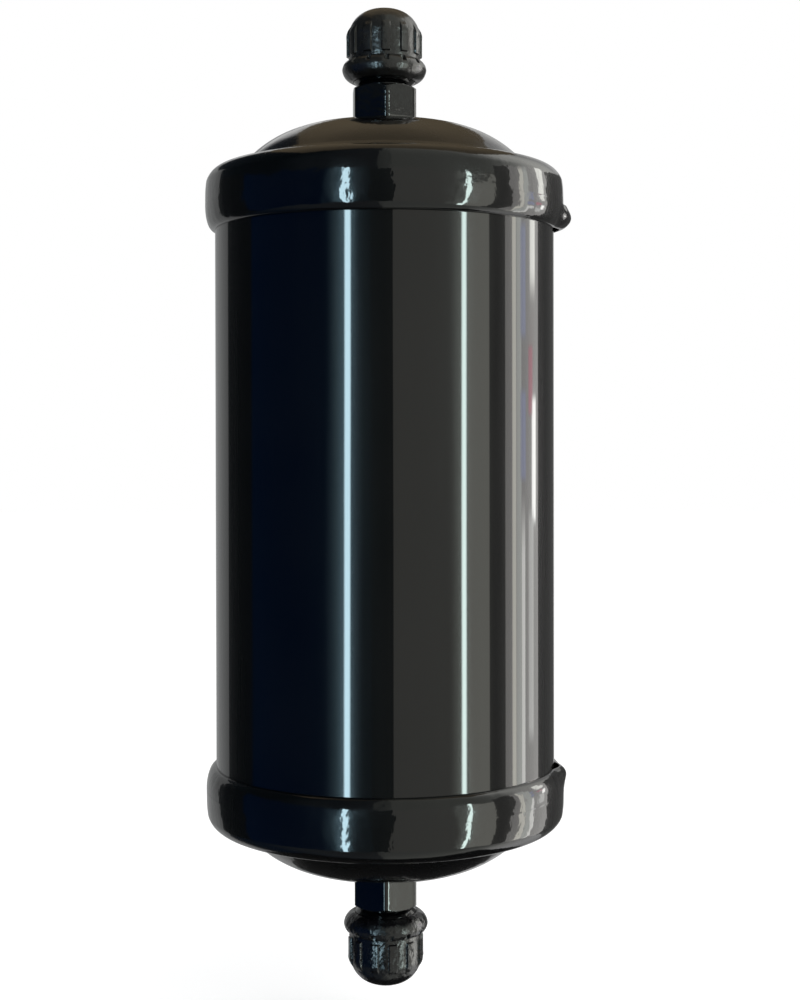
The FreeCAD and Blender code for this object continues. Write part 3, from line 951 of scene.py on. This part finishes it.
# Behind the object hangs a brown cloth above and a near black one below. Here is the cloth's colour
# by height, and half its width by distance from the level. The height of the tent's top is 1.
CLOTH = [
    (0.0, (0.01, 0.01, 0.01)), (0.2, (0.02, 0.016, 0.01)), (0.54, (0.058, 0.046, 0.03)),
    (0.7, (0.1, 0.08, 0.052)), (0.87, (0.17, 0.136, 0.09)),
]
CLOTH_HALF = [(0.15, 0.0), (0.22, 0.07), (0.42, 0.08), (1.0, 0.69)]
cloth_aside = 0.09
cloth_aside_from = 0.3
cloth_front = -0.12
cloth_edge = 0.01
level_soft = 0.05
tent_peak = 2.0
tent_r = 1.4 * card_r


def tent():
    # A sphere round everything, with what the gloss sees beyond the cards.
    box = Paintbox("tent", Specular_IOR_Level=0.0, Roughness=1.0, Base_Color=(0.0, 0.0, 0.0, 1.0),
                   Emission_Strength=tent_peak)
    way = box.node("ShaderNodeVectorMath", {"operation": "NORMALIZE"}, {0: box.place}).outputs[0]
    split = box.node("ShaderNodeSeparateXYZ", {}, {0: way}).outputs
    side = box.maths("ARCTAN2", split["X"], box.maths("MULTIPLY", split["Y"], -1.0))
    share = box.between(side, 0.0, 1.0, -math.pi, math.pi)
    rings = []
    for table in (ABOVE, BELOW):
        stops = [((deg + 180) / 360, [c / tent_peak for c in colour]) for deg, colour in table]
        rings.append(box.colours(share, *stops))
    up = box.between(split["Z"], 0.0, 1.0, -level_soft, level_soft)
    room = box.mixed(up, rings[1], rings[0])
    cloth = box.colours(box.between(split["Z"], 0.0, 1.0), *CLOTH)
    height = box.maths("ABSOLUTE", split["Z"])
    half = box.colours(height, *[(at, (width, width, width)) for at, width in CLOTH_HALF])
    middle = box.between(height, 0.0, cloth_aside, cloth_aside_from, 1.0)
    out = box.maths("ABSOLUTE", box.maths("SUBTRACT", split["X"], middle))
    inner = box.between(box.maths("SUBTRACT", half, out), 0.0, 1.0, -cloth_edge, cloth_edge)
    back = box.between(split["Y"], 0.0, 1.0, cloth_front, 0.0)
    box.set("Emission Color", box.mixed(box.maths("MULTIPLY", inner, back), room, cloth))
    mesh = bpy.data.meshes.new("tent")
    bm = bmesh.new()
    bmesh.ops.create_uvsphere(bm, u_segments=64, v_segments=32, radius=tent_r)
    bm.to_mesh(mesh)
    bm.free()
    mesh.shade_smooth()
    mesh.materials.append(box.material)
    only_reflected(new_object("tent", mesh))


tent()


def direct_view(tree, otherwise, seen):
    # One value where it is seen, directly, in a reflection or through glass, and another for its light.
    path = tree.nodes.new("ShaderNodeLightPath").outputs
    level = worked_out(tree, "MAXIMUM", path["Is Camera Ray"], path["Is Glossy Ray"])
    level = worked_out(tree, "MAXIMUM", level, path["Is Transmission Ray"])
    made = add_node(tree, "ShaderNodeMapRange", {"To Min": otherwise, "To Max": seen}, {"Value": level})
    return made.outputs["Result"]


# The floor lies below the reach of the lower cap when that is screwed off.
floor_z = cad_box[0].z - 18 * MM
floor_half = 3.0
floor_glow = 0.42
surround_light = 0.72


def ground():
    mesh = bpy.data.meshes.new("floor")
    ways = ((-1, -1), (1, -1), (1, 1), (-1, 1))
    corners = [(x * floor_half, y * floor_half, floor_z) for x, y in ways]
    mesh.from_pydata(corners, [], [(0, 1, 2, 3)])
    box = Paintbox("floor", Roughness=0.9, Specular_IOR_Level=0.0, Emission_Color=(1.0, 1.0, 1.0, 1.0))
    box.set("Base Color", box.colours(box.noise(3.0), (0.4, (0.8, 0.8, 0.8)), (0.6, (0.82, 0.82, 0.82))))
    box.set("Emission Strength", direct_view(box.tree, 0.0, floor_glow))
    mesh.materials.append(box.material)
    floor = new_object("floor", mesh)
    floor.visible_glossy = False


ground()


def softbox(name, place, size, power, colour):
    data = bpy.data.lights.new(name, "AREA")
    data.size = size
    data.energy = power
    data.color = colour
    lamp = new_object(name, data)
    lamp.location = place
    lamp.rotation_euler = (-Vector(place)).to_track_quat("-Z", "Y").to_euler()
    lamp.visible_camera = False
    lamp.visible_glossy = False


softbox("softbox_right", (0.7, -0.9, 0.8), 0.6, 8.0, (1.0, 0.98, 0.95))
softbox("softbox_left", (-0.9, -0.7, 0.5), 0.6, 3.0, (0.9, 0.96, 1.0))

world = bpy.data.worlds.new("surround")
scene.world = world
world.use_nodes = True
surround = world.node_tree.nodes["Background"]
surround.inputs["Color"].default_value = (1.0, 1.0, 1.0, 1.0)
surround_level = direct_view(world.node_tree, surround_light, 1.0)
world.node_tree.links.new(surround_level, surround.inputs["Strength"])
